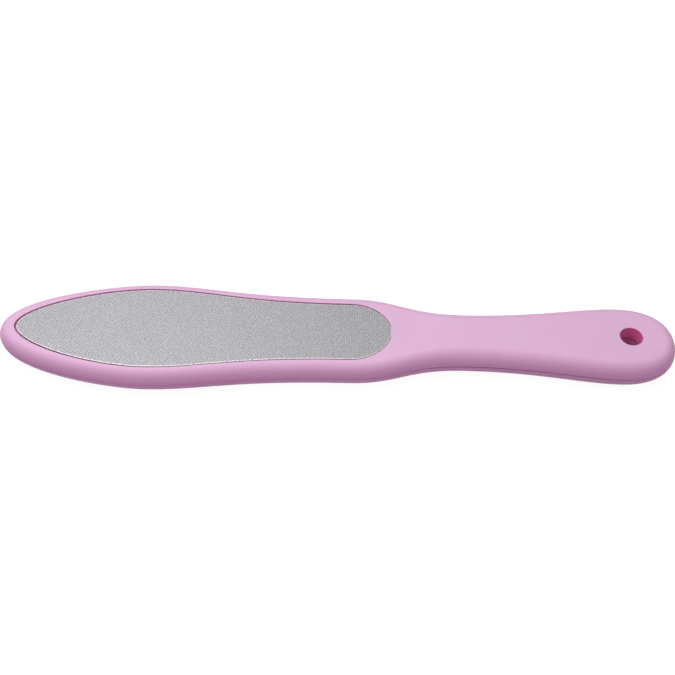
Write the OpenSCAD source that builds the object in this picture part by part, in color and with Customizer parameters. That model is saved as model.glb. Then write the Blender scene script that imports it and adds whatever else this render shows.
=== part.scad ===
// Foot file: a paddle-shaped handle in two moulded halves, with a toothed metal plate bonded into each side.
// Lengths are in millimetres. The tip of the head is at the left and the hanging hole at the right.

/* [Head] */
// Distance from the tip of the head to its widest place
nose_length = 60; // [50:0.5:70]
// Width of the head at its widest place
head_width = 49.1; // [45:0.1:56]
// Distance from the widest place to the shoulders
cheek_length = 79; // [68:0.5:90]
// Width across the shoulders
shoulder_width = 38.5; // [34:0.5:44]

/* [Handle] */
// Distance from the shoulders to the narrowest place of the neck
neck_length = 45; // [36:0.5:60]
// Width of the neck at its narrowest place
neck_width = 24; // [20:0.1:30]
// Distance from the neck to the widest place of the grip
grip_length = 59.5; // [46:0.5:70]
// Width of the grip at its widest place
grip_width = 33.2; // [30:0.2:40]
// Distance from the widest place of the grip to the end of the handle
end_length = 21.5; // [18:0.5:28]

/* [Thickness] */
// Thickness over both halves of the head, without the teeth
body_thickness = 11.4; // [10.2:0.1:14]
// Thickness of the handle from the neck on
handle_thickness = 12.6; // [10.2:0.1:15]
// How far the rounded edge reaches in from the outline of the head, on each face
edge_round = 4.3; // [3:0.1:4.6]
// The same at the neck
neck_round = 5.5; // [3:0.1:8]
// The same at the grip
grip_round = 4.8; // [3:0.1:8]
// Size of the small bevel along the parting line, on each half
parting_bevel = 0.3; // [0.1:0.05:0.4]

/* [File plates] */
// Width of the rim between the tip of the head and the plates
nose_rim = 7.2; // [6.5:0.1:10]
// Width of the rim beside the plates at the widest place
cheek_rim = 5; // [4.7:0.05:7]
// Width of the rim beside the plates near the shoulders
shoulder_rim = 5.5; // [5:0.1:7]
// How far the plates run past the shoulders
plate_overreach = 16; // [14:0.2:20]
// Gap round each plate in its pocket
plate_gap = 0.4; // [0.15:0.05:0.5]
// Thickness of the metal sheet
sheet_thickness = 0.5; // [0.3:0.05:0.8]
// Thickness of the bonding tape under each sheet
tape_thickness = 0.3; // [0.2:0.05:0.5]
// How far the tape stays inside the edge of its plate
tape_setback = 1; // [0.5:0.1:2]

/* [Teeth] */
// How far the tips of the teeth stand out of the rim
tooth_stand = 0.2; // [0.1:0.05:0.25]
// Bare metal between the edge of a plate and its first teeth
tooth_margin = 0.3; // [0.3:0.1:1.5]
// Distance between fine teeth
fine_pitch = 2; // [1.8:0.1:3]
// Height of a fine tooth
fine_height = 0.35; // [0.3:0.05:0.5]
// Diameter of a fine tooth at its foot
fine_diameter = 1.2; // [0.8:0.1:1.4]
// Distance between coarse teeth
coarse_pitch = 2.6; // [2.4:0.1:3.6]
// Height of a coarse tooth
coarse_height = 0.5; // [0.35:0.05:0.7]
// Diameter of a coarse tooth at its foot
coarse_diameter = 1.7; // [1.2:0.1:2]

/* [Hanging hole] */
// Diameter of the hanging hole
hole_diameter = 8.6; // [6:0.1:10]
// Distance from the end of the handle to the middle of the hole
hole_setback = 17.7; // [15:0.1:22]
// Radius of the rounded rim of the hole
hole_round = 0.3; // [0.2:0.1:1]
// Wall of the boss round the hole
hole_wall = 2.4; // [1.6:0.1:3]

/* [Inside] */
// Thickness of the side wall at the parting line
side_wall = 2.8; // [2.6:0.1:3.2]
// Thickness of the floor under each pocket
pocket_floor = 1.6; // [1.2:0.1:2]
// Thickness of the ribs
rib_thickness = 1.2; // [0.8:0.1:1.6]
// Distance between the cross ribs
rib_pitch = 24; // [16:1:32]
// How far the ribs stop short of the parting line
rib_relief = 0.2; // [0.1:0.05:0.4]
// Width of the weld tongue on the lower half
tongue_width = 0.8; // [0.6:0.05:0.9]
// Height of the weld tongue
tongue_height = 0.8; // [0.5:0.1:1.2]
// Clearance of the tongue in its groove and of the pins in their sockets
fit_clearance = 0.1; // [0.05:0.05:0.15]
// Diameter of the locating pins
pin_diameter = 3; // [2.4:0.1:3.6]
// Height of the locating pins
pin_height = 1.6; // [1:0.1:2]
// Wall of the boss round each pin and socket
pin_wall = 1.5; // [1.2:0.1:2]

/* [Hidden] */

// Places along the handle, measured from the tip
shoulder_x = nose_length + cheek_length;
neck_x = shoulder_x + neck_length;
grip_x = neck_x + grip_length;
total_length = grip_x + end_length;
hole_x = total_length - hole_setback;
plate_end_x = shoulder_x + plate_overreach;

// Heights inside each half, counted from the parting line
half_thickness = body_thickness / 2;
half_handle = handle_thickness / 2;
cavity_height = half_thickness - pocket_floor - pocket_depth(max(fine_height, coarse_height));
socket_depth = pin_height + rib_relief;

// Height of the parting line over the floor on which the lower teeth or the handle rest
rest_height = max(half_thickness + tooth_stand, half_handle);

// Distance from the weld tongue to either face of the side wall
tongue_setback = (side_wall - tongue_width) / 2;

// How far every cut runs past the surface that it opens
overrun = 0.5;

// Steps of one stretch of an outline, levels of the rounded edge, and sides of round forms
stretch_steps = 16;
edge_levels = 7;
round_sides = 48;
rim_steps = 6;

// How hard each stretch of the handle's outline leaves one station and meets the next
nose_shares = [0.69, 0.25];
cheek_shares = [0.28, 0.58];
shoulder_shares = [0.43, 0.51];
grip_shares = [0.49, 0.25];
end_shares = [0.71, 0.51];

// The same for the outline of the plates
plate_nose_shares = [0.47, 0.39];
plate_cheek_shares = [0.29, 0.57];
plate_end_shares = [0.57, 0.5];

// Share of a tooth's foot that its blunt tip keeps, and share of the sheet that its root reaches into
tip_share = 0.3;
root_share = 0.25;

// Share of the gap by which the plates sit nearer the handle, as the photographed one does
seat_share = 0.8;

// Places of the locating pins: inside the nose, the cheeks, the shoulders and the grip
pin_places = [nose_length / 2, nose_length + cheek_length / 2, shoulder_x + neck_length / 2, neck_x + grip_length / 2];

// Depth of the pocket that leaves the tips of the teeth standing out by their allowance
function pocket_depth(tooth_height) = tape_thickness + sheet_thickness + tooth_height - tooth_stand;

// A point of a cubic curve
function curve_point(a, b, c, d, t) =
    pow(1 - t, 3) * a + 3 * t * pow(1 - t, 2) * b + 3 * t * t * (1 - t) * c + pow(t, 3) * d;

// The tangent at a station runs across the handle at its two ends and along it everywhere else
function reach(span, share, at_end) = at_end ? [0, span.y * share] : [span.x * share, 0];

// One side of an outline, from the first station on the centre line to the last
function side_line(stations, shares) = let (last = len(stations) - 1) concat(
    [for (i = [0 : last - 1], k = [0 : stretch_steps - 1])
        let (a = stations[i], d = stations[i + 1], span = d - a)
        curve_point(
            a,
            a + reach(span, shares[i][0], i == 0),
            d - reach(span, shares[i][1], i == last - 1),
            d,
            k / stretch_steps)],
    [stations[last]]);

// The direction from a point of a side towards the middle of the outline
function inward(side, i) =
    let (last = len(side) - 1, along = side[min(i + 1, last)] - side[max(i - 1, 0)])
    i == 0 ? [1, 0] :
    i == last ? [-1, 0] :
    [along.y, -along.x] / norm(along);

// A side drawn in towards the middle by an even distance
function draw_in(side, distance) = [for (i = [0 : len(side) - 1]) side[i] + distance * inward(side, i)];

// A point on the other side of the centre line
function mirrored(p) = len(p) == 2 ? [p.x, -p.y] : [p.x, -p.y, p.z];

// The closed outline: the mirror image of the given side, and the side itself on the way back
function closed(side) = concat(
    [for (p = side) mirrored(p)],
    [for (i = [len(side) - 2 : -1 : 1]) side[i]]);

body_side = side_line(
    [[0, 0],
        [nose_length, head_width / 2],
        [shoulder_x, shoulder_width / 2],
        [neck_x, neck_width / 2],
        [grip_x, grip_width / 2],
        [total_length, 0]],
    [nose_shares, cheek_shares, shoulder_shares, grip_shares, end_shares]);

plate_side = side_line(
    [[nose_rim, 0],
        [nose_length, head_width / 2 - cheek_rim],
        [shoulder_x, shoulder_width / 2 - shoulder_rim],
        [plate_end_x, 0]],
    [plate_nose_shares, plate_cheek_shares, plate_end_shares]);

// How far a change is through between two places, starting and ending softly
function eased(x, first, last) = curve_point(0, 0, 1, 1, min(max((x - first) / (last - first), 0), 1));

// A value that keeps level over the head and past the grip, and passes through another at the neck
function along_handle(x, head, neck, grip) =
    head + (neck - head) * eased(x, plate_end_x, neck_x) + (grip - neck) * eased(x, neck_x, grip_x);

// One level of the rounded edge, from the parting line to the face, as the side of a ring
function edge_side(k) =
    let (first = asin(parting_bevel / half_thickness), angle = first + (90 - first) * k / edge_levels)
    [for (i = [0 : len(body_side) - 1])
        let (x = body_side[i].x,
            top = along_handle(x, half_thickness, half_handle, half_handle),
            round_reach = along_handle(x, edge_round, neck_round, grip_round),
            p = body_side[i] + round_reach * (1 - cos(angle)) * inward(body_side, i))
        [p.x, p.y, top * sin(angle)]];

// The outside of one half: rings of the outline stacked from the parting line, with a bevel at the foot
module half_solid() {
    foot_side = [for (p = draw_in(body_side, parting_bevel)) [p.x, p.y, 0]];
    sides = concat([foot_side], [for (k = [0 : edge_levels]) edge_side(k)]);
    last = len(body_side) - 1;
    ring = 2 * last;
    top = ring * (len(sides) - 1);
    points = [for (side = sides) each closed(side)];
    walls = [for (j = [0 : len(sides) - 2], i = [0 : ring - 1])
        let (a = j * ring + i, b = j * ring + (i + 1) % ring)
        each [[b, a, a + ring], [b, a + ring, b + ring]]];
    foot = [for (i = [1 : last - 2]) [i, i + 1, ring - i - 1, ring - i]];
    face = [for (i = [1 : last - 2]) [top + ring - i, top + ring - i - 1, top + i + 1, top + i]];
    ends = [
        [0, 1, ring - 1],
        [last - 1, last, last + 1],
        [top + ring - 1, top + 1, top],
        [top + last + 1, top + last, top + last - 1]];
    polyhedron(points, concat(walls, foot, face, ends));
}

// A flat-walled block of an outline
module block(side, bottom, top) {
    translate([0, 0, bottom])
        linear_extrude(height = top - bottom)
            polygon(closed(side));
}

// Its children, moved to where a plate sits in its pocket
module seated() {
    translate([plate_gap * seat_share, 0, 0])
        children();
}

// Its children, at each locating pin
module at_pins() {
    for (x = pin_places)
        translate([x, 0, 0])
            children();
}

// Ribs, pin bosses and the boss of the hanging hole, as blocks that the cavity leaves standing
module inner_frame() {
    translate([0, -rib_thickness / 2, rib_relief])
        cube([total_length, rib_thickness, half_thickness]);
    for (x = [rib_pitch : rib_pitch : total_length - hole_setback - rib_pitch / 2])
        translate([x - rib_thickness / 2, -head_width / 2, rib_relief])
            cube([rib_thickness, head_width, half_thickness]);
    at_pins()
        cylinder(d = pin_diameter + 2 * pin_wall, h = half_thickness, $fn = round_sides);
    translate([hole_x, 0, 0])
        cylinder(d = hole_diameter + 2 * hole_wall, h = half_thickness, $fn = round_sides);
}

// The hanging hole, with its rim rounded over
module hole_cut() {
    wall = hole_diameter / 2;
    rim = [for (i = [0 : rim_steps])
        let (angle = 90 * i / rim_steps)
        [wall + hole_round * (1 - cos(angle)), half_handle - hole_round * (1 - sin(angle))]];
    profile = concat(
        [[0, -overrun], [wall, -overrun]],
        rim,
        [[wall + hole_round, half_handle + overrun], [0, half_handle + overrun]]);
    translate([hole_x, 0, 0])
        rotate_extrude($fn = round_sides)
            polygon(profile);
}

// One half of the handle, opening downwards, with the pocket for a plate in its face
module shell(tooth_height) {
    pocket = half_thickness - pocket_depth(tooth_height);
    difference() {
        half_solid();
        block(draw_in(plate_side, -plate_gap), pocket, half_thickness + overrun);
        difference() {
            block(draw_in(body_side, side_wall), -overrun, cavity_height);
            inner_frame();
        }
        hole_cut();
    }
}

// A band that follows the side wall, for the weld tongue or its groove
module weld_band(clearance, bottom, top) {
    difference() {
        block(draw_in(body_side, tongue_setback - clearance), bottom, top);
        block(draw_in(body_side, side_wall - tongue_setback + clearance), bottom - overrun, top + overrun);
    }
}

// A toothed plate, lying on its tape with its teeth upwards in staggered rows across the file
module file_plate(pitch, tooth_height, foot_diameter) {
    sheet_bottom = half_thickness + tooth_stand - tooth_height - sheet_thickness;
    bed = draw_in(plate_side, tooth_margin + foot_diameter / 2);
    row_step = pitch * sin(60);
    first = bed[0].x;
    rows = floor((bed[len(bed) - 1].x - first) / row_step);
    root = sheet_thickness * root_share;
    block(plate_side, sheet_bottom, sheet_bottom + sheet_thickness);
    for (i = [0 : rows]) {
        x = first + i * row_step;
        odd = i % 2;
        count = floor(lookup(x, bed) / pitch + odd / 2);
        for (k = [odd - count : 1 : count])
            translate([x, (k - odd / 2) * pitch, sheet_bottom + sheet_thickness - root])
                tooth(tooth_height, foot_diameter, root);
    }
}

// One blunt cone, with a root that holds it in the sheet
module tooth(height, foot_diameter, root) {
    taper = foot_diameter * (1 - tip_share) / height;
    cylinder(
        d1 = foot_diameter + taper * root,
        d2 = foot_diameter * tip_share,
        h = height + root,
        $fn = round_sides);
}

// The bonding tape on the floor of a pocket
module tape(tooth_height) {
    pocket = half_thickness - pocket_depth(tooth_height);
    block(draw_in(plate_side, tape_setback), pocket, pocket + tape_thickness);
}

// The file lies flat, with the middle of its length over the origin
module upper_side() {
    translate([-total_length / 2, 0, rest_height])
        children();
}

// The same place, turned over
module lower_side() {
    translate([-total_length / 2, 0, rest_height])
        mirror([0, 0, 1])
            children();
}

module handle_upper_half() {
    color("orchid")
        upper_side()
            difference() {
                shell(fine_height);
                weld_band(fit_clearance, -overrun, tongue_height + fit_clearance);
                at_pins()
                    translate([0, 0, -overrun])
                        cylinder(
                            d = pin_diameter + 2 * fit_clearance,
                            h = socket_depth + overrun,
                            $fn = round_sides);
            }
}

module handle_lower_half() {
    color("mediumorchid")
        lower_side()
            union() {
                shell(coarse_height);
                weld_band(0, -tongue_height, parting_bevel);
                at_pins()
                    translate([0, 0, -pin_height])
                        cylinder(d = pin_diameter, h = pin_height + rib_relief, $fn = round_sides);
            }
}

module fine_file_plate() {
    color("silver")
        upper_side()
            seated()
                file_plate(fine_pitch, fine_height, fine_diameter);
}

module coarse_file_plate() {
    color("darkgray")
        lower_side()
            seated()
                file_plate(coarse_pitch, coarse_height, coarse_diameter);
}

module fine_plate_tape() {
    color("white")
        upper_side()
            seated()
                tape(fine_height);
}

module coarse_plate_tape() {
    color("ivory")
        lower_side()
            seated()
                tape(coarse_height);
}

handle_upper_half();
handle_lower_half();
fine_file_plate();
coarse_file_plate();
fine_plate_tape();
coarse_plate_tape();
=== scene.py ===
# Foot file: soft-touch handle halves, toothed metal plates, and the photograph's camera and light.
# The part's lengths are in millimetres, as in its CAD, and become metres when a mesh is made.
import bmesh
import bpy
import math
import numpy as np
from mathutils import Matrix, Vector


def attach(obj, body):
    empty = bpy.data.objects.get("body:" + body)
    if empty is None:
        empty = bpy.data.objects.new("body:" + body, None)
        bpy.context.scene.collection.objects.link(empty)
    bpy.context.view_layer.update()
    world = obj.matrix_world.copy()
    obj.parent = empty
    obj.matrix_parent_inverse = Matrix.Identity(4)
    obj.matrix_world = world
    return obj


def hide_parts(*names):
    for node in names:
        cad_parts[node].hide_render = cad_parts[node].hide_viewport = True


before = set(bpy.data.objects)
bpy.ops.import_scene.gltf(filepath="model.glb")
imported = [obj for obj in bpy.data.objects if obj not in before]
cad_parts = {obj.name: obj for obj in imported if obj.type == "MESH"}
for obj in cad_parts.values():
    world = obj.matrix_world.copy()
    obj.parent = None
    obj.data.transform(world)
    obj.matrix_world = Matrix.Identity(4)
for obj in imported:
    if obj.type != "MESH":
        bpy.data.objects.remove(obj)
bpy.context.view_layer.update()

MM = 0.001

# Outline of the handle and of its plates, from the tip of the head
NOSE_LENGTH = 60
HEAD_WIDTH = 49.1
CHEEK_LENGTH = 79
SHOULDER_WIDTH = 38.5
NECK_LENGTH = 45
NECK_WIDTH = 24
GRIP_LENGTH = 59.5
GRIP_WIDTH = 33.2
END_LENGTH = 21.5
NOSE_RIM = 7.2
CHEEK_RIM = 5
SHOULDER_RIM = 5.5
PLATE_OVERREACH = 16

# How far the handles of each curve reach, leaving one station and meeting the next
BODY_SHARES = [(0.69, 0.25), (0.28, 0.58), (0.43, 0.51), (0.49, 0.25), (0.71, 0.51)]
PLATE_SHARES = [(0.47, 0.39), (0.29, 0.57), (0.57, 0.5)]

SHOULDER_X = NOSE_LENGTH + CHEEK_LENGTH
NECK_X = SHOULDER_X + NECK_LENGTH
GRIP_X = NECK_X + GRIP_LENGTH
TOTAL_LENGTH = GRIP_X + END_LENGTH
PLATE_END_X = SHOULDER_X + PLATE_OVERREACH

# Thickness, edges and pockets
HALF_THICKNESS = 5.7
HALF_HANDLE = 6.3
EDGE_ROUND = 4.3
NECK_ROUND = 5.5
GRIP_ROUND = 4.8
PARTING_BEVEL = 0.3
PLATE_GAP = 0.4
SEAT_SHARE = 0.8
POCKET_LIP = 0.1
TAPE_THICKNESS = 0.3
# How far inside the rounded edge the flat of a face starts
FLAT_START = 0.04

# The sheets: the rim is the width of the bare strip inside the softened edge, painted bright as a highlight,
# and of its fade
SHEET_THICKNESS = 0.5
SHEET_EDGE = 0.25
SHEET_RIM = 0.15

# The hanging hole, with a fine seam where the halves meet in it, and the height above the seam where its
# painted shade starts
HOLE_RADIUS = 4.3
HOLE_SETBACK = 17.7
HOLE_ROUND = 0.3
HOLE_SEAM = 0.2
HOLE_SEAM_SHADE = 0.6

# Teeth: the fine ones stand as close as the photograph's texture, the coarse ones as in the CAD
FINE_TEETH = {"pitch": 1.1, "height": 0.35, "diameter": 0.72, "sides": 8}
COARSE_TEETH = {"pitch": 2.6, "height": 0.5, "diameter": 1.7, "sides": 14}
TOOTH_STAND = 0.2
TOOTH_MARGIN = 0.15
ROW_ANGLE = 60

# A tooth from its flared foot to its blunt tip, as shares of its radius and of its height
TOOTH_PROFILE = [(1, -0.04), (0.72, 0.3), (0.48, 0.72), (0.3, 0.94), (0.12, 1)]
# The share of its height that a tooth may fall short by
TOOTH_WEAR = 0.12

# Height of the parting line over the floor, and how far the plates sit towards the handle
MIDDLE_HEIGHT = max(HALF_THICKNESS + TOOTH_STAND, HALF_HANDLE)
SEAT_SHIFT = PLATE_GAP * SEAT_SHARE

# Fineness of the meshes
STRETCH_STEPS = 36
EDGE_LEVELS = 24
LIP_LEVELS = 3
RIM_LEVELS = 8
ROUND_SIDES = 96
SHARP_ANGLE = 35

# How dark the painted shade of the parting line is on the head, at the neck and on the grip
SEAM_SHADE_STRENGTHS = (0.3, 1, 0.6)
# How dark the painted shade on the pocket's wall gets at its floor, on the same scale as the parting line's
POCKET_SHADE = 1.5
# How much of the coat is mixed into the hole's raspberry wall in each half, more in the lower half as painted
# light from below, and below 0 how deep the painted shade of its seam is
UPPER_HOLE_COAT = 0.15
LOWER_HOLE_LIT_COAT = 0.45
SEAM_SHADE_COAT = -0.5
CREVICE_SHADE_COAT = -1

# Colours as they show on screen, from 0 to 255
COAT_LIGHT = (222, 181, 213)
COAT_SHADE = (219, 176, 209)
COAT_SPECK = (216, 173, 206)
# The sides' deeper pink and the dark of the parting line and of the pocket's wall are painted shade
COAT_SIDE_SHADE = (218, 148, 200)
PARTING_AND_POCKET_SHADE = (112, 66, 96)
BARE_PLASTIC = (222, 96, 164)
# Painted shade at the seam inside the hole
CREVICE_SHADE = (124, 72, 114)
# The sheet's greys are painted darker than the teeth's, as shade between the teeth
SHEET_SHADED_BRIGHT = (163, 162, 165)
SHEET_SHADED_DULL = (151, 150, 153)
# Painted highlight on the sheet's bare rim
SHEET_RIM_HIGHLIGHT = (198, 192, 196)
TOOTH_LIT_BRIGHT = (220, 218, 221)
TOOTH_LIT_DULL = (202, 200, 204)
TAPE_LIGHT = (228, 226, 216)
TAPE_SHADE = (214, 212, 200)

# The floor's grey as the camera sees it, with its glow, and its calmer grey as a source of light
FLOOR_PAPER = 0.24
FLOOR_GLOW = 0.89
FLOOR_CALM = 0.36
# The strength of the room on the part, and its white to the camera
ROOM_LIGHT = 0.33
ROOM_WHITE = 1

# How far the floor reaches each way, in metres, and its squares on a side
FLOOR_REACH = 2.5
FLOOR_SQUARES = 8

# Lamps: name, place and size in metres, and power in watts
LAMPS = [
    ("overhead", (-0.3, 0.28, 0.85), 0.7, 6.8),
    ("head", (-0.08, -0.22, 0.2), 0.2, 0.16),
    ("grip", (0.34, -0.15, 0.2), 0.2, 0.13),
]

# The fitted camera: angles in degrees, distance and aim, and focal length as pixels of the photograph
CAMERA_AZIMUTH = 3.119
CAMERA_ELEVATION = 50.701
CAMERA_ROLL = 1.104
CAMERA_DISTANCE = 354.8
CAMERA_AIM = (134.098, 1.268)
CAMERA_NEAR = 10
FOCAL_PIXELS = 898.6
PHOTO_PIXELS = 675
SENSOR_WIDTH = 36

SEED = 7
draws = np.random.default_rng(SEED)


def curve_point(a, b, c, d, t):
    """A point of a cubic curve."""
    return (1 - t) ** 3 * a + 3 * t * (1 - t) ** 2 * b + 3 * t * t * (1 - t) * c + t ** 3 * d


def side_line(stations, shares):
    """One side of an outline: square to the centre line at its ends, level at each station between."""
    stations = np.array(stations, float)
    last = len(stations) - 1
    points = []
    for i in range(last):
        start, end = stations[i], stations[i + 1]
        span = end - start
        leave = np.array([0, span[1]]) if i == 0 else np.array([span[0], 0])
        meet = np.array([0, span[1]]) if i == last - 1 else np.array([span[0], 0])
        for k in range(STRETCH_STEPS):
            t = k / STRETCH_STEPS
            points.append(curve_point(start, start + leave * shares[i][0], end - meet * shares[i][1], end, t))
    points.append(stations[last])
    return np.array(points)


def draw_in(side, distance):
    """The side moved towards the middle by one distance, or by one for each point."""
    along = np.empty_like(side)
    along[1:-1] = side[2:] - side[:-2]
    along[0] = (0, 1)
    along[-1] = (0, -1)
    long = np.linalg.norm(along, axis=1, keepdims=True)
    inward = np.column_stack([along[:, 1], -along[:, 0]]) / long
    return side + np.reshape(distance, (-1, 1)) * inward


def closed(side):
    """The whole outline: the near side, and its mirror image on the way back."""
    near = side * (1, -1)
    return np.vstack([near, side[-2:0:-1]])


def both_ways(values):
    """Values along a side, repeated for the way back."""
    return np.concatenate([values, values[-2:0:-1]])


body_side = side_line(
    [
        (0, 0),
        (NOSE_LENGTH, HEAD_WIDTH / 2),
        (SHOULDER_X, SHOULDER_WIDTH / 2),
        (NECK_X, NECK_WIDTH / 2),
        (GRIP_X, GRIP_WIDTH / 2),
        (TOTAL_LENGTH, 0),
    ],
    BODY_SHARES,
)
plate_side = side_line(
    [
        (NOSE_RIM, 0),
        (NOSE_LENGTH, HEAD_WIDTH / 2 - CHEEK_RIM),
        (SHOULDER_X, SHOULDER_WIDTH / 2 - SHOULDER_RIM),
        (PLATE_END_X, 0),
    ],
    PLATE_SHARES,
)


def eased(x, first, last):
    """How far a change is through between two places, starting and ending softly."""
    return curve_point(0, 0, 1, 1, np.clip((x - first) / (last - first), 0, 1))


def along_handle(x, head, neck, grip):
    """Values that keep level over the head and past the grip, and pass through another at the neck."""
    return head + (neck - head) * eased(x, PLATE_END_X, NECK_X) + (grip - neck) * eased(x, NECK_X, GRIP_X)


def circle(x, radius):
    """A round outline about a point of the centre line."""
    angles = np.arange(ROUND_SIDES) * 2 * math.pi / ROUND_SIDES
    return np.column_stack([x + radius * np.cos(angles), radius * np.sin(angles)])


class Builder:
    """Collects rings of points and the faces between them."""

    def __init__(self):
        self.mesh = bmesh.new()
        self.coat = self.mesh.verts.layers.float.new("coat")
        self.edge = self.mesh.verts.layers.float.new("edge")

    def ring(self, outline, height, coat=1.0, edge=0.0):
        """A closed ring. Its height and its edge are one number each, or one for each point.

        Coat is 1 on the coat, 0 on bare plastic and -1 for the painted shade of a crevice. Edge places
        painted light: 0 on a face,
        1 for painted shade low on a side or a painted highlight on the bare rim of a sheet, and up to 2 for
        darker painted shade down in the pocket and at the parting line.
        """
        count = len(outline)
        verts = []
        for (x, y), z, side in zip(outline, np.broadcast_to(height, count), np.broadcast_to(edge, count)):
            vert = self.mesh.verts.new((x, y, z))
            vert[self.coat] = coat
            vert[self.edge] = side
            verts.append(vert)
        return verts

    def band(self, first, second):
        """Quads between two rings of the same count."""
        for i in range(len(first)):
            j = (i + 1) % len(first)
            self.mesh.faces.new((first[i], first[j], second[j], second[i]))

    def stack(self, rings):
        """Bands through a list of rings."""
        for first, second in zip(rings, rings[1:]):
            self.band(first, second)

    def fill(self, *rings):
        """A flat face inside the first ring and outside the others."""
        edges = []
        for verts in rings:
            for i in range(len(verts)):
                pair = (verts[i], verts[(i + 1) % len(verts)])
                edges.append(self.mesh.edges.get(pair) or self.mesh.edges.new(pair))
        bmesh.ops.triangle_fill(self.mesh, use_beauty=True, edges=edges)

    def piece(self, name, outward, forward=0.0):
        """The finished object, its heights counted outwards from the parting line of the handle."""
        for vert in self.mesh.verts:
            x, y, z = vert.co
            vert.co = Vector((x + forward - TOTAL_LENGTH / 2, y, MIDDLE_HEIGHT + outward * z)) * MM
        bmesh.ops.recalc_face_normals(self.mesh, faces=self.mesh.faces)
        data = bpy.data.meshes.new(name)
        self.mesh.to_mesh(data)
        self.mesh.free()
        data.shade_smooth()
        data.set_sharp_from_angle(angle=math.radians(SHARP_ANGLE))
        made = bpy.data.objects.new(name, data)
        bpy.context.scene.collection.objects.link(made)
        return made


def handle_half(name, outward, tooth_height, hole_coat):
    """One moulded half: bevelled at the parting line, rounded at the edge, with a pocket and a hole."""
    face_height = along_handle(body_side[:, 0], HALF_THICKNESS, HALF_HANDLE, HALF_HANDLE)
    face_ring = both_ways(face_height)
    round_reach = along_handle(body_side[:, 0], EDGE_ROUND, NECK_ROUND, GRIP_ROUND)
    hole_x = TOTAL_LENGTH - HOLE_SETBACK
    pocket = HALF_THICKNESS - TAPE_THICKNESS - SHEET_THICKNESS - tooth_height + TOOTH_STAND
    build = Builder()

    # The outside, from the bevel at the parting line over the rounded edge to the face, with painted shade on
    # the parting line and the sides that fades out towards the face
    first_angle = math.asin(PARTING_BEVEL / HALF_THICKNESS)
    seam = 1 + along_handle(body_side[:, 0], *SEAM_SHADE_STRENGTHS)
    outside = [build.ring(closed(draw_in(body_side, PARTING_BEVEL)), 0, edge=both_ways(seam))]
    for k in range(EDGE_LEVELS + 1):
        angle = first_angle + (math.pi / 2 - first_angle) * k / EDGE_LEVELS
        inset = round_reach * (1 - math.cos(angle))
        height = face_ring * math.sin(angle)
        outside.append(build.ring(closed(draw_in(body_side, inset)), height, edge=1 - k / EDGE_LEVELS))
    face = build.ring(closed(draw_in(body_side, round_reach + FLAT_START)), face_ring)
    outside.append(face)
    build.stack(outside)

    # The pocket, from its soft lip down to its floor, its wall painted darker towards the floor as shade
    lip = []
    for k in range(LIP_LEVELS + 1):
        angle = math.pi / 2 * k / LIP_LEVELS
        out = PLATE_GAP + POCKET_LIP * (1 - math.sin(angle))
        height = HALF_THICKNESS - POCKET_LIP * (1 - math.cos(angle))
        lip.append(build.ring(closed(draw_in(plate_side, -out)), height, edge=k / (LIP_LEVELS + 1)))
    lip.append(build.ring(closed(draw_in(plate_side, -PLATE_GAP)), pocket, edge=POCKET_SHADE))
    build.stack(lip)
    build.fill(lip[-1])

    # The hole, from its rounded rim down its bare wall, paler in the lower half as painted light, to the
    # seam, darkened as painted shade
    hole = []
    for k in range(RIM_LEVELS + 1):
        angle = math.pi / 2 * k / RIM_LEVELS
        radius = HOLE_RADIUS + HOLE_ROUND * (1 - math.sin(angle))
        height = HALF_HANDLE - HOLE_ROUND * (1 - math.cos(angle))
        hole.append(build.ring(circle(hole_x, radius), height, 1 - k / RIM_LEVELS))
    hole.append(build.ring(circle(hole_x, HOLE_RADIUS), HALF_HANDLE / 2, hole_coat))
    hole.append(build.ring(circle(hole_x, HOLE_RADIUS), HOLE_SEAM_SHADE, hole_coat))
    hole.append(build.ring(circle(hole_x, HOLE_RADIUS), HOLE_SEAM, SEAM_SHADE_COAT))
    hole.append(build.ring(circle(hole_x, HOLE_RADIUS + HOLE_SEAM), 0, CREVICE_SHADE_COAT))
    build.stack(hole)

    # The face is flat round the pocket and from the neck on, and rises in even strips between them
    last = len(body_side) - 1
    rise = int(np.searchsorted(body_side[:, 0], PLATE_END_X + 2 * PLATE_GAP))
    neck = int(np.searchsorted(body_side[:, 0], NECK_X))
    build.fill(face[:rise + 1] + face[2 * last - rise:], lip[0])
    for i in range(rise, neck):
        build.mesh.faces.new((face[i], face[i + 1], face[2 * last - i - 1], face[2 * last - i]))
    build.fill(face[neck:2 * last - neck + 1], hole[0])
    build.fill(outside[0], hole[-1])
    return build.piece(name, outward)


def file_sheet(name, outward, sheet_top):
    """A metal sheet with a softened edge and a bare rim inside it, both painted bright as a highlight."""
    build = Builder()
    rings = [build.ring(closed(plate_side), sheet_top - SHEET_THICKNESS)]
    for k in range(LIP_LEVELS + 1):
        angle = math.pi / 2 * k / LIP_LEVELS
        inset = SHEET_EDGE * (1 - math.cos(angle))
        height = sheet_top - SHEET_EDGE * (1 - math.sin(angle))
        rings.append(build.ring(closed(draw_in(plate_side, inset)), height, edge=1))
    rings.append(build.ring(closed(draw_in(plate_side, SHEET_EDGE + SHEET_RIM)), sheet_top, edge=1))
    rings.append(build.ring(closed(draw_in(plate_side, SHEET_EDGE + 2 * SHEET_RIM)), sheet_top))
    build.stack(rings)
    build.fill(rings[-1])
    build.fill(rings[0])
    return build.piece(name, outward, SEAT_SHIFT)


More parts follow.
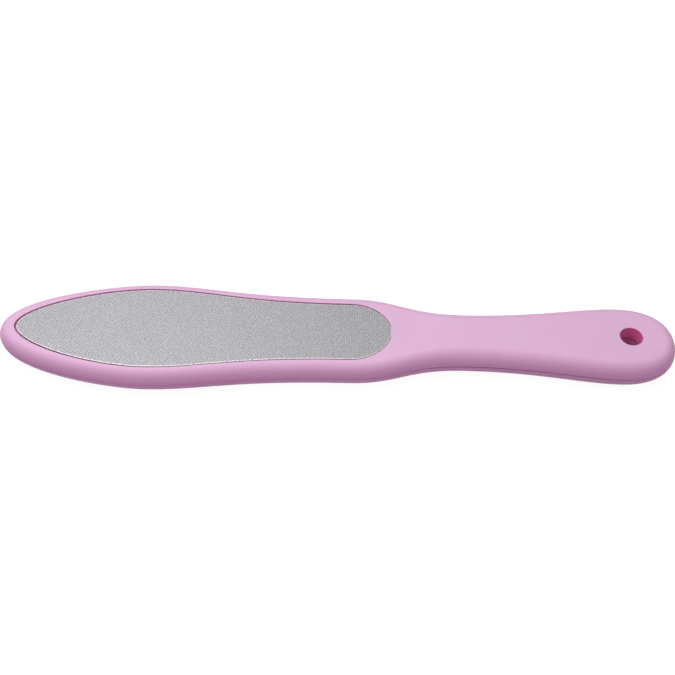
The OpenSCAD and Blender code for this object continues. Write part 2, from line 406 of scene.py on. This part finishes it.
def tooth_places(pitch, diameter):
    """Centres of the teeth, in staggered rows across the file that keep their margin to the sheet's edge."""
    bed = draw_in(plate_side, TOOTH_MARGIN + diameter / 2)
    row_step = pitch * math.sin(math.radians(ROW_ANGLE))
    places = []
    for i in range(int((bed[-1, 0] - bed[0, 0]) / row_step) + 1):
        x = bed[0, 0] + i * row_step
        odd = i % 2
        count = math.floor(np.interp(x, bed[:, 0], bed[:, 1]) / pitch + odd / 2)
        for k in range(odd - count, count + 1):
            places.append((x, (k - odd / 2) * pitch))
    return np.array(places)


def file_teeth(name, outward, sheet_top, pitch, height, diameter, sides):
    """A field of blunt teeth, each turned and worn a little differently from the next."""
    places = tooth_places(pitch, diameter)
    count = len(places)
    around = np.arange(sides) * 2 * math.pi / sides
    angles = around[None, :] + draws.uniform(0, 2 * math.pi, count)[:, None]
    tall = height * (1 - draws.uniform(0, TOOTH_WEAR, count))[:, None]
    levels = len(TOOTH_PROFILE)
    points = np.empty((count, levels, sides, 3))
    for level, (width_share, height_share) in enumerate(TOOTH_PROFILE):
        radius = diameter / 2 * width_share
        ring = points[:, level]
        ring[..., 0] = places[:, 0, None] + radius * np.cos(angles) + SEAT_SHIFT - TOTAL_LENGTH / 2
        ring[..., 1] = places[:, 1, None] + radius * np.sin(angles)
        ring[..., 2] = MIDDLE_HEIGHT + outward * (sheet_top + height_share * tall)
    faces = []
    for tooth in range(count):
        foot = tooth * levels * sides
        tip = foot + (levels - 1) * sides
        for low in range(foot, tip, sides):
            for i in range(sides):
                j = (i + 1) % sides
                faces.append((low + i, low + j, low + sides + j, low + sides + i))
        faces.append(tuple(range(tip, tip + sides)))
    if outward < 0:
        faces = [corners[::-1] for corners in faces]
    data = bpy.data.meshes.new(name)
    data.from_pydata((points.reshape(-1, 3) * MM).tolist(), [], faces)
    data.shade_smooth()
    teeth = bpy.data.objects.new(name, data)
    bpy.context.scene.collection.objects.link(teeth)
    return teeth


def linear(red, green, blue):
    """A colour written as it shows on screen, turned into light by the standard screen curve."""
    def one(value):
        share = value / 255
        return share / 12.92 if share <= 0.04045 else ((share + 0.055) / 1.055) ** 2.4
    return (one(red), one(green), one(blue), 1.0)


class Nodes:
    """A material's node tree with short calls for its parts."""

    def __init__(self, name):
        self.material = bpy.data.materials.new(name)
        self.material.use_nodes = True
        self.tree = self.material.node_tree
        self.shader = self.tree.nodes["Principled BSDF"]
        self.output = self.tree.nodes["Material Output"]
        self.place = self.add("ShaderNodeTexCoord").outputs["Object"]

    def add(self, kind, **values):
        """A node with some of its settings."""
        node = self.tree.nodes.new(kind)
        for key, value in values.items():
            setattr(node, key, value)
        return node

    def link(self, source, target):
        """A link between two sockets."""
        self.tree.links.new(source, target)

    def attribute(self, name):
        """A number that the mesh carries at its points, or 0 where it has none of that name."""
        return self.add("ShaderNodeAttribute", attribute_name=name).outputs["Fac"]

    def noise(self, size_mm, detail):
        """Noise whose features are about that many millimetres across."""
        node = self.add("ShaderNodeTexNoise")
        node.inputs["Scale"].default_value = 1 / (size_mm * MM)
        node.inputs["Detail"].default_value = detail
        self.link(self.place, node.inputs["Vector"])
        return node.outputs["Fac"]

    def spread(self, source, low, high, start=0.3, end=0.7):
        """The source's range from start to end mapped to low and high."""
        node = self.add("ShaderNodeMapRange")
        self.link(source, node.inputs["Value"])
        for key, value in (("From Min", start), ("From Max", end), ("To Min", low), ("To Max", high)):
            node.inputs[key].default_value = value
        return node.outputs["Result"]

    def mix(self, factor, first, second):
        """A colour between two screen colours or colour outputs."""
        node = self.add("ShaderNodeMix", data_type="RGBA")
        self.link(factor, node.inputs["Factor"])
        inputs = [socket for socket in node.inputs if socket.type == "RGBA"]
        for value, target in zip((first, second), inputs):
            if isinstance(value, tuple):
                target.default_value = linear(*value)
            else:
                self.link(value, target)
        return next(socket for socket in node.outputs if socket.type == "RGBA")

    def bump(self, source, depth_mm, strength, before=None):
        """A normal roughened by the source, on top of another roughening if one is given."""
        node = self.add("ShaderNodeBump")
        node.inputs["Distance"].default_value = depth_mm * MM
        node.inputs["Strength"].default_value = strength
        self.link(source, node.inputs["Height"])
        if before is not None:
            self.link(before, node.inputs["Normal"])
        return node.outputs["Normal"]

    def either(self, first, second):
        """1 where one of two switches is on."""
        node = self.add("ShaderNodeMath", operation="MAXIMUM")
        self.link(first, node.inputs[0])
        self.link(second, node.inputs[1])
        return node.outputs[0]

    def diffuse(self, grey):
        """A plain matt grey."""
        node = self.add("ShaderNodeBsdfDiffuse")
        node.inputs["Color"].default_value = (grey, grey, grey, 1)
        return node.outputs[0]


def soft_touch():
    """Pale pink coat with painted shade: deeper on the sides, dark at the parting line and down the pocket's
    wall, darkest at the hole's seam, over raspberry plastic seen in the hole.
    """
    nodes = Nodes("soft_touch_pink")
    coat = nodes.attribute("coat")
    edge = nodes.attribute("edge")
    patches = nodes.spread(nodes.noise(size_mm=22, detail=2), low=0, high=1)
    specks = nodes.spread(nodes.noise(size_mm=0.35, detail=4), low=0, high=1, start=0.35, end=0.65)
    speckled = nodes.mix(specks, COAT_SPECK, nodes.mix(patches, COAT_SHADE, COAT_LIGHT))
    # Painted shade: deeper pink on the sides, then dark at the parting line and down the pocket's wall
    sides = nodes.mix(nodes.spread(edge, low=0, high=1, start=0, end=1), speckled, COAT_SIDE_SHADE)
    seam_shaded = nodes.mix(nodes.spread(edge, low=0, high=1, start=1, end=2), sides, PARTING_AND_POCKET_SHADE)
    moulded = nodes.mix(coat, BARE_PLASTIC, seam_shaded)
    # Painted shade darkens the hole's wall towards its seam
    colour = nodes.mix(nodes.spread(coat, low=1, high=0, start=-1, end=0), moulded, CREVICE_SHADE)
    nodes.link(colour, nodes.shader.inputs["Base Color"])
    roughness = nodes.spread(nodes.noise(size_mm=4, detail=4), low=0.5, high=0.58)
    nodes.link(roughness, nodes.shader.inputs["Roughness"])
    grain = nodes.bump(nodes.noise(size_mm=0.12, detail=2), depth_mm=0.006, strength=0.6)
    waves = nodes.bump(nodes.noise(size_mm=6, detail=2), depth_mm=0.03, strength=0.25, before=grain)
    nodes.link(waves, nodes.shader.inputs["Normal"])
    nodes.shader.inputs["Specular IOR Level"].default_value = 0.3
    return nodes.material


def file_metal(name, bright, dull, grain_mm):
    """Satin nickel: duller in patches, with a painted highlight on a sheet's bare rim, with fine grain from
    the forming; its overall grey is painted light, lit for the teeth and shaded for the sheet.
    """
    nodes = Nodes(name)
    mottled = nodes.mix(nodes.spread(nodes.noise(grain_mm, detail=4), low=0, high=1), dull, bright)
    patches = nodes.spread(nodes.noise(size_mm=14, detail=2), low=0, high=0.25)
    field = nodes.mix(patches, mottled, dull)
    nodes.link(nodes.mix(nodes.attribute("edge"), field, SHEET_RIM_HIGHLIGHT), nodes.shader.inputs["Base Color"])
    roughness = nodes.spread(nodes.noise(size_mm=0.5, detail=3), low=0.5, high=0.6)
    nodes.link(roughness, nodes.shader.inputs["Roughness"])
    grain = nodes.bump(nodes.noise(size_mm=0.15, detail=3), depth_mm=0.01, strength=0.7)
    nodes.link(grain, nodes.shader.inputs["Normal"])
    nodes.shader.inputs["Metallic"].default_value = 1.0
    return nodes.material


def bonding_tape():
    """Milky bonding tape under each plate."""
    nodes = Nodes("bonding_tape")
    colour = nodes.mix(nodes.noise(size_mm=1.5, detail=3), TAPE_SHADE, TAPE_LIGHT)
    nodes.link(colour, nodes.shader.inputs["Base Color"])
    grain = nodes.bump(nodes.noise(size_mm=0.4, detail=3), depth_mm=0.02, strength=0.5)
    nodes.link(grain, nodes.shader.inputs["Normal"])
    nodes.shader.inputs["Roughness"].default_value = 0.7
    return nodes.material


def dress(obj, material, slot=None, replaced=None):
    """Gives a piece its material, attaches it to the root body when a slot is named, and hides the CAD node
    that it replaces.
    """
    obj.data.materials.clear()
    obj.data.materials.append(material)
    if slot:
        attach(obj, "root")
    if replaced:
        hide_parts(replaced)


pink = soft_touch()
upper_half = handle_half("handle_upper_skin", 1, FINE_TEETH["height"], UPPER_HOLE_COAT)
lower_half = handle_half("handle_lower_skin", -1, COARSE_TEETH["height"], LOWER_HOLE_LIT_COAT)
dress(upper_half, pink, "handle_plastic", "handle_upper_half")
dress(lower_half, pink, "handle_plastic", "handle_lower_half")

# Two copies of one nickel: the sheet's painted as shaded, the teeth's as lit
shaded_sheet_metal = file_metal("plate_nickel_painted_shade", SHEET_SHADED_BRIGHT, SHEET_SHADED_DULL, grain_mm=1.2)
lit_tooth_metal = file_metal("tooth_nickel_painted_lit", TOOTH_LIT_BRIGHT, TOOTH_LIT_DULL, grain_mm=0.6)
for name, node, outward, tooth in (
    ("fine_plate_sheet", "fine_file_plate", 1, FINE_TEETH),
    ("coarse_plate_sheet", "coarse_file_plate", -1, COARSE_TEETH),
):
    sheet_top = HALF_THICKNESS + TOOTH_STAND - tooth["height"]
    sheet = file_sheet(name, outward, sheet_top)
    teeth = file_teeth(name + "_teeth", outward, sheet_top, **tooth)
    dress(sheet, shaded_sheet_metal, "file_metal", node)
    dress(teeth, lit_tooth_metal, "file_metal", node)

tape = bonding_tape()
for node in ("fine_plate_tape", "coarse_plate_tape"):
    dress(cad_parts[node], tape)


def floor_material():
    """Pale floor: white to the camera and in reflections, with the object's shadow, and calmer as a lamp."""
    nodes = Nodes("pale_floor")
    nodes.tree.nodes.remove(nodes.shader)
    rays = nodes.add("ShaderNodeLightPath").outputs
    seen = nodes.either(rays["Is Camera Ray"], rays["Is Glossy Ray"])
    seen = nodes.either(seen, rays["Is Transmission Ray"])
    glow = nodes.add("ShaderNodeEmission")
    glow.inputs["Strength"].default_value = FLOOR_GLOW
    white = nodes.add("ShaderNodeAddShader")
    nodes.link(nodes.diffuse(FLOOR_PAPER), white.inputs[0])
    nodes.link(glow.outputs[0], white.inputs[1])
    mixed = nodes.add("ShaderNodeMixShader")
    nodes.link(seen, mixed.inputs[0])
    nodes.link(nodes.diffuse(FLOOR_CALM), mixed.inputs[1])
    nodes.link(white.outputs[0], mixed.inputs[2])
    nodes.link(mixed.outputs[0], nodes.output.inputs["Surface"])
    return nodes.material


def lay_floor():
    """A wide flat floor."""
    build = bmesh.new()
    bmesh.ops.create_grid(build, x_segments=FLOOR_SQUARES, y_segments=FLOOR_SQUARES, size=FLOOR_REACH)
    data = bpy.data.meshes.new("floor")
    build.to_mesh(data)
    build.free()
    floor = bpy.data.objects.new("floor", data)
    bpy.context.scene.collection.objects.link(floor)
    data.materials.append(floor_material())


def hang_lamp(name, place, size, watts):
    """A soft square lamp, turned to the middle of the part."""
    lamp = bpy.data.lights.new(name, "AREA")
    lamp.size = size
    lamp.energy = watts
    holder = bpy.data.objects.new(name, lamp)
    holder.location = place
    holder.rotation_euler = (-Vector(place)).to_track_quat("-Z", "Y").to_euler()
    bpy.context.scene.collection.objects.link(holder)


def light_room():
    """An even pale room, white to the camera, with soft lamps over the file."""
    world = bpy.data.worlds.new("room")
    bpy.context.scene.world = world
    world.use_nodes = True
    tree = world.node_tree
    tree.nodes.clear()
    path = tree.nodes.new("ShaderNodeLightPath")
    mixed = tree.nodes.new("ShaderNodeMixShader")
    output = tree.nodes.new("ShaderNodeOutputWorld")
    tree.links.new(path.outputs["Is Camera Ray"], mixed.inputs[0])
    for strength, target in ((ROOM_LIGHT, mixed.inputs[1]), (ROOM_WHITE, mixed.inputs[2])):
        white = tree.nodes.new("ShaderNodeBackground")
        white.inputs["Color"].default_value = (1, 1, 1, 1)
        white.inputs["Strength"].default_value = strength
        tree.links.new(white.outputs[0], target)
    tree.links.new(mixed.outputs[0], output.inputs["Surface"])
    for name, place, size, watts in LAMPS:
        hang_lamp(name, place, size, watts)


def place_camera():
    """The camera that the outlines in the photograph were fitted with."""
    azimuth = math.radians(CAMERA_AZIMUTH)
    elevation = math.radians(CAMERA_ELEVATION)
    roll = math.radians(CAMERA_ROLL)
    back = Vector((
        math.sin(azimuth) * math.cos(elevation),
        -math.cos(azimuth) * math.cos(elevation),
        math.sin(elevation),
    ))
    aim = Vector((CAMERA_AIM[0] - TOTAL_LENGTH / 2, CAMERA_AIM[1], MIDDLE_HEIGHT)) * MM
    level_right = (-back).cross(Vector((0, 0, 1))).normalized()
    level_up = level_right.cross(-back)
    right = math.cos(roll) * level_right - math.sin(roll) * level_up
    up = math.cos(roll) * level_up + math.sin(roll) * level_right
    lens = bpy.data.cameras.new("camera")
    lens.sensor_width = SENSOR_WIDTH
    lens.lens = FOCAL_PIXELS / PHOTO_PIXELS * SENSOR_WIDTH
    lens.clip_start = CAMERA_NEAR * MM
    camera = bpy.data.objects.new("camera", lens)
    turn = Matrix((right, up, back)).transposed().to_4x4()
    camera.matrix_world = Matrix.Translation(aim + back * CAMERA_DISTANCE * MM) @ turn
    bpy.context.scene.collection.objects.link(camera)
    bpy.context.scene.camera = camera


lay_floor()
light_room()
place_camera()
bpy.context.scene.view_settings.view_transform = "Standard"
